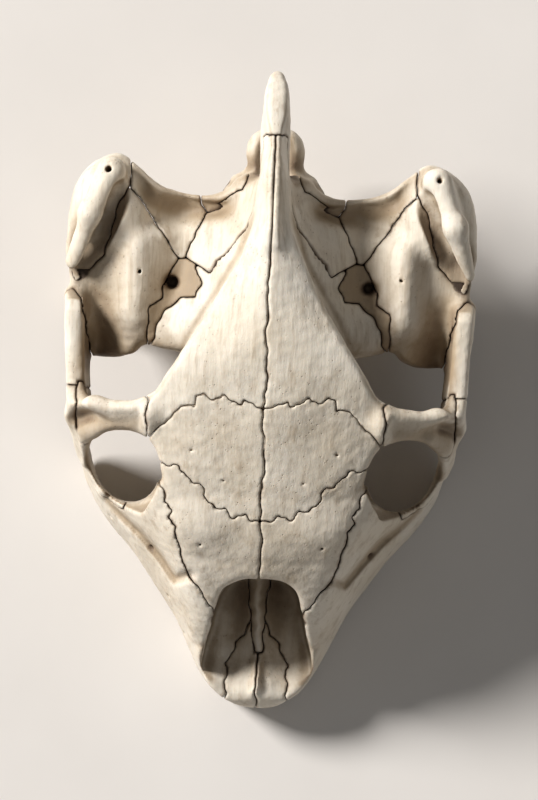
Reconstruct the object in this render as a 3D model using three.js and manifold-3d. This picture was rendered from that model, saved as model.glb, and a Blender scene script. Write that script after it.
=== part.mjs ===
// The skull of a large land tortoise without its lower jaw, at life size, in millimetres.
// +Z is up, the snout points along -Y, +X is the skull's left side and X is 0 on the midline.
// The skull stands on the edges of its beak and on its two jaw joints, at height 0.
// The bone is one smooth body described by distances: a distance is negative inside, and x in
// these functions is always the distance from the midline. The body is turned into triangles
// and then parted along its sutures into the bones of a real skull.
import * as THREE from "three";
import { mergeVertices } from "three/addons/utils/BufferGeometryUtils.js";
import Module from "manifold-3d";

// Driving sizes
const LENGTH = 150;
const TIP = LENGTH / 2;
const HALF_WIDTH = 48.2;
const HEIGHT = 62;
const SUTURE_GAP = 0.3;
const BONE_COLOUR = 0xd9cdb4;

// Fineness of the surface: the grid it is found on, and the triangles kept before the sutures
const CELL = 1.45;
const TRIANGLES = 5800;

// Joining and blending of distances
const blendMin = (a, b, width) => {
  const h = Math.max(width - Math.abs(a - b), 0) / width;
  return Math.min(a, b) - h * h * width * 0.25;
};
const blendMax = (a, b, width) => -blendMin(-a, -b, width);
const clamp = (t, low, high) => Math.min(Math.max(t, low), high);
const ramp = (t) => {
  const s = clamp(t, 0, 1);
  return s * s * (3 - 2 * s);
};
const hill = (t, centre, width) => Math.exp(-(((t - centre) / width) ** 2));

// A smooth curve through [position, value] pairs, level beyond its ends
function curve(points) {
  const slope = points.map((p, i) => {
    const a = points[Math.max(i - 1, 0)];
    const b = points[Math.min(i + 1, points.length - 1)];
    return (b[1] - a[1]) / (b[0] - a[0]);
  });
  return (t) => {
    const at = clamp(t, points[0][0], points[points.length - 1][0]);
    let i = 0;
    while (i < points.length - 2 && at > points[i + 1][0]) i += 1;
    const [t0, v0] = points[i];
    const [t1, v1] = points[i + 1];
    const h = t1 - t0;
    const s = (at - t0) / h;
    return (
      (2 * s ** 3 - 3 * s ** 2 + 1) * v0 +
      (s ** 3 - 2 * s ** 2 + s) * h * slope[i] +
      (3 * s ** 2 - 2 * s ** 3) * v1 +
      (s ** 3 - s ** 2) * h * slope[i + 1]
    );
  };
}

// A closed outline, rounded through its corners
function rounded(corners, steps = 3) {
  const points = [];
  const n = corners.length;
  for (let i = 0; i < n; i += 1) {
    const around = [-1, 0, 1, 2].map((k) => corners[(i + k + n) % n]);
    for (let k = 0; k < steps; k += 1) {
      const s = k / steps;
      points.push(
        [0, 1].map((axis) => {
          const [a, b, c, d] = around.map((p) => p[axis]);
          return (
            0.5 *
            (2 * b +
              (c - a) * s +
              (2 * a - 5 * b + 4 * c - d) * s * s +
              (3 * b - a - 3 * c + d) * s ** 3)
          );
        }),
      );
    }
  }
  return points;
}

// Half an outline, from its front end on the midline to its back end, made whole and rounded
const mirrored = (half) =>
  rounded([...half, ...half.filter((p) => p[0] > 0).reverse().map((p) => [-p[0], p[1]])]);

// Distance to a closed outline
function outlineDistance(u, v, outline) {
  let nearest = Infinity;
  let inside = false;
  for (let i = 0, j = outline.length - 1; i < outline.length; j = i, i += 1) {
    const [au, av] = outline[j];
    const [bu, bv] = outline[i];
    const eu = bu - au;
    const ev = bv - av;
    const t = clamp(((u - au) * eu + (v - av) * ev) / (eu * eu + ev * ev), 0, 1);
    nearest = Math.min(nearest, (u - au - eu * t) ** 2 + (v - av - ev * t) ** 2);
    if (av > v !== bv > v && u < (eu * (v - av)) / ev + au) inside = !inside;
  }
  return (inside ? -1 : 1) * Math.sqrt(nearest);
}

// Distance to an ellipsoid
function ball([x, y, z], [cx, cy, cz], [rx, ry, rz]) {
  const near = Math.hypot((x - cx) / rx, (y - cy) / ry, (z - cz) / rz);
  const slope = Math.hypot((x - cx) / rx ** 2, (y - cy) / ry ** 2, (z - cz) / rz ** 2) + 1e-6;
  return (near * (near - 1)) / slope;
}

// Distance to a bar with round ends, of two radii, widened along one axis
function bar([x, y, z], [ax, ay, az], [bx, by, bz], ra, rb, wide = [1, 1, 1]) {
  const [dx, dy, dz] = [bx - ax, by - ay, bz - az];
  const along = (x - ax) * dx + (y - ay) * dy + (z - az) * dz;
  const t = clamp(along / (dx * dx + dy * dy + dz * dz), 0, 1);
  const off = [x - ax - t * dx, y - ay - t * dy, z - az - t * dz];
  return Math.hypot(off[0] / wide[0], off[1] / wide[1], off[2] / wide[2]) - (ra + (rb - ra) * t);
}

// Outlines seen from above, as [distance from the midline, distance along the skull]
const FACE = mirrored([
  [0, -TIP], [5.2, -74.2], [10.0, -71.4], [13.6, -67], [16.6, -61], [19.5, -55], [23.6, -48.4],
  [27.9, -42.2], [32.7, -36], [36.6, -31], [39.5, -27], [41.5, -23], [43.7, -17], [45.5, -12],
  [46.8, -6], [47.5, 4], [HALF_WIDTH, 20], [47.2, 34], [0, 38],
]);
const ROOF = mirrored([
  [0, -39], [10, -39], [16.5, -38], [19.2, -33], [21.2, -28], [23.0, -22.5], [25.2, -16],
  [28.4, -11.0], [29.6, -7], [29.0, -3.2], [25.6, -0.4], [22.8, 4.2], [19.3, 9.8], [15.2, 16.9],
  [11.2, 23.9], [8.6, 28.5], [6.3, 33.3], [3.2, 42.7], [1.6, 52], [0, 53],
]);
const NOSTRIL = mirrored([
  [0, -43.6], [5, -44.2], [8.6, -46.6], [10.2, -51], [11.2, -55.8], [12.3, -60.5], [12.8, -64],
  [12.0, -68], [10.5, -73], [8, -80], [0, -84],
]);
const EAR_REGION = mirrored([
  [0, 14], [10, 13.0], [18, 10.6], [24, 10.0], [29.0, 10.2], [31.5, 8.2], [36, 7.0], [41, 7.6],
  [44.2, 11], [46.0, 18], [46.6, 25], [HALF_WIDTH, 31], [47.4, 38], [46.0, 43.5], [43.2, 48.8],
  [39.6, 53.0], [35.8, 54.4], [31.2, 51.0], [26.6, 47.4], [21, 45.8], [14, 45.2], [9, 46.8],
  [5.6, 50], [0, 52],
]);
const PALATE = mirrored([
  [0, -36], [14, -36], [20.0, -31], [20.5, -22], [19.5, -13], [22, -8.5], [24, -6], [20, -2.5],
  [12, 3], [10, 9], [13, 15], [24, 17], [36, 19], [38, 25], [30, 30], [17, 32], [12, 42], [9, 50],
  [0, 52],
]);
const ORBIT = rounded([
  [24.6, -16.4], [26.8, -12.2], [31.5, -10.2], [36.8, -10.6], [40.0, -13.8], [40.4, -18.0],
  [38.6, -22.6], [35.2, -26.0], [31.2, -27.2], [27.2, -26.0], [24.7, -22.0],
]);

// Outlines seen from the side, as [distance along the skull, height]
const CREST = rounded([
  [24, 50], [34, 60], [44, 57.6], [54, 54.6], [62, 51.2], [69, 47.6], [73.6, 44.6],
  [TIP, 42.2], [74, 40.4], [70, 39.8], [62, 40.6], [54, 41.6], [46, 42], [34, 42],
]);
const CHEEK = rounded([
  [-34, 0.4], [-24, 0.2], [-18.5, 0.6], [-13.5, 5], [-9, 13], [-3.5, 20.5], [4, 24.2], [12, 23.0],
  [19, 19], [23, 30], [20, 40.5], [12, 40.5], [1, 40.5], [-4, 42.5], [-9, 45.5], [-12, 43],
  [-11, 36], [-14.5, 29.6], [-21, 26.8], [-28, 29], [-34, 34],
]);

// Height of the skull roof along the midline, from the top of the nose opening to the crest
const ridge = curve([
  [-60, 25], [-50, 37], [-43.6, 42.6], [-36, 47], [-28, 50.6], [-18, 54.5], [-4, 59], [8, 61.6],
  [16, HEIGHT], [26, 60.8], [34, 58.8], [44, 56.4], [54, 53.4], [62, 50.4], [70, 46.6],
]);

function roofHeight(x, y) {
  const gable = ramp((y - 2) / 34);
  const drop = 2.6 * (x / 20) ** 2 * (1 - 0.3 * gable);
  return ridge(y) - drop - gable * 0.62 * (Math.sqrt(x * x + 6) - 2.45);
}

// How far the side of the face leans inwards at a height
const bend = (t) => 0.5 * (t + Math.sqrt(t * t + 25)) - 0.35;
const faceLean = (z) => 0.15 * bend(z - 12) + 0.27 * bend(z - 26) + 0.12 * bend(7 - z);

// Snout: the walls of the face, the nose chamber with its keel, and the mouth with its ridges
function snout(p, plan) {
  const [x, y, z] = p;
  const nosePlane = 43.4 + (y + 43.6) * 0.97;
  const top = blendMin(roofHeight(x, y), nosePlane, 3);
  let d = blendMax((plan + faceLean(z)) * 0.94, (z - top) * 0.85, 3);
  d = blendMax(d, y + 25 - 4 * ramp((x - 20) / 4), 3);
  d = blendMax(d, 1.7 * hill(y, -48, 14) - 0.6 - z, 1.2);
  const basin = 13.2 + 2.6 * ramp((-62 - y) / 7) + 3.5 * ramp((y + 50) / 16);
  const keel = 1.9 * hill(x, 0, 1.1) * ramp((-30 - y) / 10);
  const floor = basin + keel - hill(x, 6.5, 3);
  const behind = ball(p, [0, -41, 28], [11.5, 14, 11]);
  const chamber = blendMax(blendMin(outlineDistance(x, y, NOSTRIL), behind, 3), floor - z, 2);
  d = blendMax(d, -chamber, 1.4);
  const depth = -plan;
  const vault =
    7.5 + 2.6 * ramp((depth - 8.5) / 5) + 6.5 * ramp((y + 50) / 16) * ramp((depth - 10) / 6);
  const innerRidge = 3.6 * hill(depth, 8.6, 1.5) * ramp((-28 - y) / 6);
  const mouth = blendMax(z - (vault - innerRidge), plan + 2.8, 1.6);
  return blendMax(d, -mouth, 1.2);
}

// Skull roof, the walls of the braincase below it and the crest behind
const wallHalf = curve([[-8, 6.5], [-2, 8.5], [8, 10], [20, 9.5], [30, 7.5], [38, 5.2], [48, 3.2]]);
const wallSpread = curve([[5, 6], [12, 14.5], [18, 13.5], [24, 10], [30, 9], [40, 7.5], [48, 5]]);
const edgeHalf = curve([[30, 2.2], [44, 1.5], [58, 1.5], [64, 2.3], [70, 2.6], [TIP, 1.4]]);
const baseHalf = curve([[30, 5], [44, 3.6], [60, 3.3], [66, 2.9], [71, 2.6], [TIP, 1.4]]);

function cranium([x, y, z]) {
  const top = roofHeight(x, y);
  let roof = blendMax(outlineDistance(x, y, ROOF), (z - top) * 0.85, 1.8);
  roof = blendMax(roof, top - 5 - z, 2.5);
  const flare = wallSpread(y) * ramp((53.5 - z) / 17) ** 2 * ramp((y - 5) / 5);
  let wall = blendMax((x - wallHalf(y) - flare) * 0.8, z - top + 1, 1.5);
  wall = blendMax(blendMax(wall, 20 - z, 2), blendMax(-y - 2, y - 49, 2), 2);
  const thick = blendMin(edgeHalf(y) + 0.3 * Math.max(ridge(y) - z, 0), baseHalf(y), 0.8);
  const crest = blendMax(outlineDistance(y, z, CREST), x - thick, 1.6);
  return blendMin(blendMin(roof, wall, 2), crest, 2);
}

// Ear region: the floor of the temple with its hump and hollows, and the squamosal with its rim
const underside = curve([[0, 15], [10, 17], [18, 22], [28, 25], [40, 20], [48, 20]]);

function earRegion(p) {
  const [x, y, z] = p;
  const top =
    38.6 -
    2.4 * hill(x, 21, 4.5) +
    3.8 * hill(x, 31.5, 4.6) * ramp((50 - y) / 18) * (1 - 0.6 * ramp((22 - y) / 12)) -
    4.6 * ramp((16.5 - y) / 9) * ramp((x - 23) / 6) * ramp((45 - x) / 4) -
    3.6 * hill(x, 40.2, 4.2) * ramp((41 - y) / 9) -
    3.4 * hill(x, 38.5, 6) * ramp((19 - y) / 8) -
    3.2 * hill(y + 0.25 * x, 46.5, 3.2) * ramp((x - 6) / 8) * ramp((35 - x) / 8);
  const under = underside(x) + 9 * ramp((y - 36) / 14) * ramp((x - 20) / 10);
  let d = blendMax(outlineDistance(x, y, EAR_REGION), z - top, 2.5);
  d = blendMax(d, under - z, 3);
  const bulb = ball(p, [38.6, 41.5, 34.5], [8.4, 11.6, 9.4]);
  const rimBack = bar(p, [38, 50, 42.2], [42.6, 40, 44.6], 3.4, 2.5);
  const rimFront = bar(p, [42.6, 40, 44.6], [45.8, 29, 40.6], 2.5, 2.0);
  const foot = bar(p, [35.4, 45.5, 43.4], [43.4, 28, 39.6], 2.4, 2.6);
  d = blendMin(blendMin(d, bulb, 3), blendMin(rimBack, rimFront, 2.5), 2);
  return blendMax(d, -foot, 1.5);
}

// Quadrate: the stem below the ear and the saddle of the jaw joint
function quadrateStem(p) {
  const stem = bar(p, [38.5, 27, 27], [37.5, 19.8, 5], 10.5, 5.0, [1, 0.85, 1]);
  const joint = bar(p, [33.0, 18.8, 3.8], [42.0, 19.2, 4.2], 4.4, 4.6);
  const saddle = ball(p, [37.6, 19, -2.2], [4, 12, 3.4]);
  return blendMax(blendMin(stem, joint, 3), -saddle, 1.5);
}

// Cheek: the plate below the eye, the arch behind it and the bar behind the eye socket
function cheek(p, plan) {
  const [, y, z] = p;
  const toward = ramp((-16 - y) / 12);
  const behind = ramp((y + 9) / 8);
  const arch = 0.1 * bend(z - 27) * (1 - behind) + 0.14 * bend(34 - z) * behind;
  const lean = arch * (1 - toward) + toward * (faceLean(z) - 0.3);
  const half = 2.3 - 0.9 * ramp((-6 - y) / 8);
  const shell = Math.abs(plan + lean + half + 0.3) - half;
  const plate = blendMax(outlineDistance(y, z, CHEEK), shell, 2);
  const upper = bar(p, [27.5, -6.4, 52.4], [40, -6.6, 47.4], 3.4, 3.2, [1, 1.05, 1]);
  const lower = bar(p, [40, -6.6, 47.4], [43.8, -7.6, 37], 3.2, 3.0, [1, 1.3, 1]);
  return blendMin(plate, blendMin(upper, lower, 2.5), 3);
}

// Palate and base: the plate from the palatines to the braincase, with what braces it
const palateTop = curve([[-36, 21], [-20, 21.5], [-4, 22.5], [8, 22], [20, 22], [50, 24]]);
const palateThick = curve([[-36, 4.5], [-10, 4.2], [5, 6], [20, 7], [50, 8]]);

function palate(p) {
  const [x, y, z] = p;
  const top = palateTop(y) - 3 * (x / 24) ** 2;
  const arch = 2 * hill(x, 0, 9) * ramp((-2 - y) / 10);
  let d = blendMax(outlineDistance(x, y, PALATE), z - top, 2.5);
  d = blendMax(d, top - palateThick(y) + arch - z, 2);
  const bridge = bar(p, [16, -6.8, 19], [42, -6.8, 28], 3.2, 3.6);
  const pillar = bar(p, [13, -30.5, 44], [9, -30, 18], 5.0, 4.5, [1.4, 1, 1]);
  const vomer = bar(p, [0, -60, 11.6], [0, -18, 19.6], 1.6, 2.6);
  return blendMin(blendMin(blendMin(d, bridge, 4), pillar, 4), vomer, 3);
}

// Back of the base: the condyle on its neck, and the two tubers below it
function occiput(p) {
  const neck = bar(p, [0, 44, 22], [0, 52, 23.6], 8.0, 5.0);
  const condyle = ball(p, [2.6, 56.3, 24.4], [4.3, 5.5, 5.0]);
  const tuber = ball(p, [8, 43, 15.5], [4.2, 6, 4.5]);
  return blendMin(blendMin(neck, condyle, 1.6), tuber, 4);
}

// The space of the eye, inside its rim and behind it
function eyeSpace(p) {
  const [x, y, z] = p;
  const [ox, oy, oz] = [x - 33, y + 18.4, z - 38];
  const along = oy * 0.927 - ox * 0.375;
  const out = oy * 0.375 + ox * 0.927;
  const up = oz * 0.766 - out * 0.643;
  const through = oz * 0.643 + out * 0.766;
  const rim = blendMax((Math.hypot(along / 8.8, up / 12.8) - 1) * 9.3, -through - 7, 2);
  return blendMin(rim, ball(p, [22, -16.5, 35.5], [17, 8.8, 11.5]), 1.5);
}

// The funnel behind the eye, from the bar down to the rim of the cheek
function eyeWeb(p, plan) {
  const inner = bar(p, [26.5, -9.2, 48.8], [37.5, -9, 44.2], 2.2, 2.4);
  const middle = bar(p, [37.5, -9, 44.2], [42.6, -11, 36], 2.4, 2.6);
  const outer = bar(p, [42.6, -11, 36], [43.2, -17, 28], 2.6, 2.0);
  const web = blendMin(blendMin(inner, middle, 1), outer, 1);
  return blendMax(web, plan + 0.1 * bend(p[2] - 27) + 0.5, 1);
}

// Round hole of the eye, ear, spinal cord, front of the braincase, nose passages
// The slope that the bar behind the eye turns to the eye
function barBevel(p) {
  const [x, y, z] = p;
  const plane = (z - 55.4 + 0.39 * (x - 28) - (y + 5)) * 0.66;
  return plane - 1.2 * Math.max(29.5 - x, 0) - 3 * Math.max(-12 - y, 0);
}

function openings(p) {
  const [x, y] = p;
  const ear = ball(p, [52.5, 28.5, 26], [16, 11, 10.8]);
  const notch = bar(p, [40, 33, 27], [34, 37, 26], 2.6, 1.6);
  return Math.min(
    outlineDistance(x, y, ORBIT),
    blendMin(ear, notch, 2),
    ball(p, [0, 53, 33.6], [6.0, 13, 6.6]),
    ball(p, [0, -5, 38], [6, 11, 9]),
    bar(p, [0, -34, 31], [0, -20, 36], 6.0, 7.0),
    ball(p, [6.4, -32, 14], [3.6, 7.5, 12]),
    bar(p, [24, 24.6, 45], [22.8, 25, 33], 1.9, 1.2),
  );
}

function skull(x, y, z) {
  const p = [x, y, z];
  const plan = outlineDistance(x, y, FACE);
  let d = blendMin(cranium(p), snout(p, plan), 1.2);
  d = blendMin(d, earRegion(p), 5.5);
  d = blendMin(d, quadrateStem(p), 4);
  d = blendMin(d, palate(p), 4);
  d = blendMin(d, occiput(p), 3);
  d = blendMin(d, cheek(p, plan), 1 + 1.5 * ramp((y + 26) / 8));
  d = blendMax(d, barBevel(p), 1.2);
  d = blendMin(blendMax(d, -eyeSpace(p), 1.4), eyeWeb(p, plan), 2.6);
  return blendMax(d, -openings(p), 1.4);
}

// Triangles of the surface where the distance is 0, on a grid of cubes, each of six tetrahedra
function surface(distance, low, high) {
  const count = low.map((value, axis) => Math.ceil((high[axis] - value) / CELL - 1e-9) + 1);
  const index = (i, j, k) => (i * count[1] + j) * count[2] + k;
  const place = (n) => {
    const k = n % count[2];
    const j = Math.floor(n / count[2]) % count[1];
    const i = Math.floor(n / count[2] / count[1]);
    return [low[0] + i * CELL, low[1] + j * CELL, low[2] + k * CELL];
  };
  const values = new Float64Array(count[0] * count[1] * count[2]);
  const slab = count[1] * count[2];
  for (let n = 0; n < values.length; n += 1) {
    const i = Math.floor(n / slab);
    const other = (count[0] - 1 - i) * slab + (n % slab);
    values[n] = other < n ? values[other] : distance(...place(n));
  }
  const corners = [0, 1, 2, 3, 4, 5, 6, 7].map((c) => index(c & 1, (c >> 1) & 1, c >> 2));
  const tetrahedra = [[1, 3], [3, 2], [2, 6], [6, 4], [4, 5], [5, 1]];
  const positions = [];
  const triangles = [];
  const known = new Map();
  const crossing = (a, b) => {
    const key = Math.min(a, b) * values.length + Math.max(a, b);
    if (!known.has(key)) {
      const t = clamp(values[a] / (values[a] - values[b]), 0.04, 0.96);
      const [pa, pb] = [place(a), place(b)];
      known.set(key, positions.length / 3);
      positions.push(...pa.map((value, axis) => value + (pb[axis] - value) * t));
    }
    return known.get(key);
  };
  const emit = (inner, outer, flip) => {
    const quad =
      inner.length === 2
        ? [[0, 0], [0, 1], [1, 1], [1, 0]].map(([a, b]) => crossing(inner[a], outer[b]))
        : inner.length === 1
          ? outer.map((b) => crossing(inner[0], b))
          : inner.map((a) => crossing(a, outer[0]));
    for (let i = 2; i < quad.length; i += 1)
      triangles.push(flip ? [quad[0], quad[i], quad[i - 1]] : [quad[0], quad[i - 1], quad[i]]);
  };
  // Which way the corners of a tetrahedron turn, to face its triangles outwards
  const turns = (a, b, c, d) => {
    const [pa, ...others] = [a, b, c, d].map((n) => new THREE.Vector3(...place(n)));
    const [u, v, w] = others.map((q) => q.sub(pa));
    return u.cross(v).dot(w) < 0;
  };
  for (let i = 0; i < count[0] - 1; i += 1)
    for (let j = 0; j < count[1] - 1; j += 1)
      for (let k = 0; k < count[2] - 1; k += 1) {
        const mirror = i < (count[0] - 1) / 2 ? 1 : 0;
        const cube = corners.map((_, c) => index(i, j, k) + corners[c ^ mirror]);
        const within = cube.filter((n) => values[n] < 0).length;
        if (within === 0 || within === 8) continue;
        for (const [b, c] of tetrahedra) {
          const four = [cube[0], cube[b], cube[c], cube[7]];
          const inner = four.filter((n) => values[n] < 0);
          const outer = four.filter((n) => values[n] >= 0);
          if (inner.length === 0 || outer.length === 0) continue;
          emit(inner, outer, turns(...inner, ...outer));
        }
      }
  return { positions, triangles };
}

// Fewer triangles: the edge whose loss moves the surface least is collapsed first
function simplified({ positions, triangles }, target) {
  const points = [];
  for (let i = 0; i < positions.length; i += 3)
    points.push([positions[i], positions[i + 1], positions[i + 2]]);
  const faces = triangles.map((f) => [...f]);
  const around = points.map(() => new Set());
  const quadrics = points.map(() => new Float64Array(10));
  const stamps = new Uint32Array(points.length);
  const normalOf = ([pa, pb, pc]) => {
    const u = [pb[0] - pa[0], pb[1] - pa[1], pb[2] - pa[2]];
    const v = [pc[0] - pa[0], pc[1] - pa[1], pc[2] - pa[2]];
    return [u[1] * v[2] - u[2] * v[1], u[2] * v[0] - u[0] * v[2], u[0] * v[1] - u[1] * v[0]];
  };
  faces.forEach((face, f) => {
    const n = normalOf(face.map((v) => points[v]));
    const area = Math.hypot(...n) || 1e-12;
    const [a, b, c] = n.map((value) => value / area);
    const d = -(a * points[face[0]][0] + b * points[face[0]][1] + c * points[face[0]][2]);
    const plane = [a * a, a * b, a * c, a * d, b * b, b * c, b * d, c * c, c * d, d * d];
    for (const v of face) {
      around[v].add(f);
      plane.forEach((value, i) => {
        quadrics[v][i] += value * area;
      });
    }
  });
  const cost = (q, [x, y, z]) =>
    q[0] * x * x + 2 * q[1] * x * y + 2 * q[2] * x * z + 2 * q[3] * x + q[4] * y * y +
    2 * q[5] * y * z + 2 * q[6] * y + q[7] * z * z + 2 * q[8] * z + q[9];
  const best = (q, a, b) => {
    const [xx, xy, xz, xd, yy, yz, yd, zz, zd] = q;
    const minors = [yy * zz - yz * yz, xz * yz - xy * zz, xy * yz - xz * yy];
    const det = xx * minors[0] + xy * minors[1] + xz * minors[2];
    const middle = a.map((value, i) => (value + b[i]) / 2);
    const choices = [a, b, middle];
    if (Math.abs(det) > 1e-3) {
      const more = [xx * zz - xz * xz, xy * xz - xx * yz, xx * yy - xy * xy];
      const solved = [
        -(minors[0] * xd + minors[1] * yd + minors[2] * zd) / det,
        -(minors[1] * xd + more[0] * yd + more[1] * zd) / det,
        -(minors[2] * xd + more[1] * yd + more[2] * zd) / det,
      ];
      if (Math.hypot(...solved.map((value, i) => value - middle[i])) < 3) choices.push(solved);
    }
    return choices.reduce((least, choice) => (cost(q, choice) < cost(q, least) ? choice : least));
  };
  const heap = [];
  const push = (item) => {
    let i = heap.push(item) - 1;
    while (i > 0) {
      const parent = (i - 1) >> 1;
      if (heap[parent].cost <= heap[i].cost) break;
      [heap[parent], heap[i]] = [heap[i], heap[parent]];
      i = parent;
    }
  };
  const pop = () => {
    const first = heap[0];
    const last = heap.pop();
    if (heap.length === 0) return first;
    heap[0] = last;
    let i = 0;
    while (2 * i + 1 < heap.length) {
      let child = 2 * i + 1;
      if (child + 1 < heap.length && heap[child + 1].cost < heap[child].cost) child += 1;
      if (heap[i].cost <= heap[child].cost) break;
      [heap[child], heap[i]] = [heap[i], heap[child]];
      i = child;
    }
    return first;
  };
  const consider = (a, b) => {
    const q = quadrics[a].map((value, i) => value + quadrics[b][i]);
    const to = best(q, points[a], points[b]);
    const apart = Math.hypot(...points[a].map((value, i) => value - points[b][i]));
    push({ a, b, to, q, cost: cost(q, to) + 1e-4 * apart * apart, made: stamps[a] + stamps[b] });
  };
  const neighbours = (v) => {
    const found = new Set();
    for (const f of around[v]) for (const w of faces[f]) if (w !== v) found.add(w);
    return found;
  };
  // A collapse that would turn a face over or leave a sliver isn't made
  const spoils = (v, other, to) => {
    for (const f of around[v]) {
      if (faces[f].includes(other)) continue;
      const before = normalOf(faces[f].map((w) => points[w]));
      const after = normalOf(faces[f].map((w) => (w === v ? to : points[w])));
      const agree = before[0] * after[0] + before[1] * after[1] + before[2] * after[2];
      const sizes = Math.hypot(...before) * Math.hypot(...after);
      if (agree < 0.3 * sizes || Math.hypot(...after) < 1e-3) return true;
    }
    return false;
  };
  points.forEach((_, v) => {
    for (const w of neighbours(v)) if (v < w) consider(v, w);
  });
  let left = faces.length;
  while (left > target && heap.length > 0) {
    const { a, b, to, q, made } = pop();
    if (around[a].size === 0 || around[b].size === 0 || made !== stamps[a] + stamps[b]) continue;
    const near = neighbours(a);
    if (!near.has(b)) continue;
    const shared = [...neighbours(b)].filter((v) => near.has(v));
    if (shared.length !== 2 || spoils(a, b, to) || spoils(b, a, to)) continue;
    for (const f of [...around[b]]) {
      if (faces[f].includes(a)) {
        for (const v of faces[f]) around[v].delete(f);
        left -= 1;
      } else {
        faces[f] = faces[f].map((v) => (v === b ? a : v));
        around[a].add(f);
      }
    }
    around[b].clear();
    points[a] = to;
    quadrics[a] = q;
    stamps[a] += 1;
    for (const w of neighbours(a)) consider(a, w);
  }
  const kept = [];
  faces.forEach((face, f) => {
    if (around[face[0]].has(f)) kept.push(face.map((v) => points[v]));
  });
  return kept;
}

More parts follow.
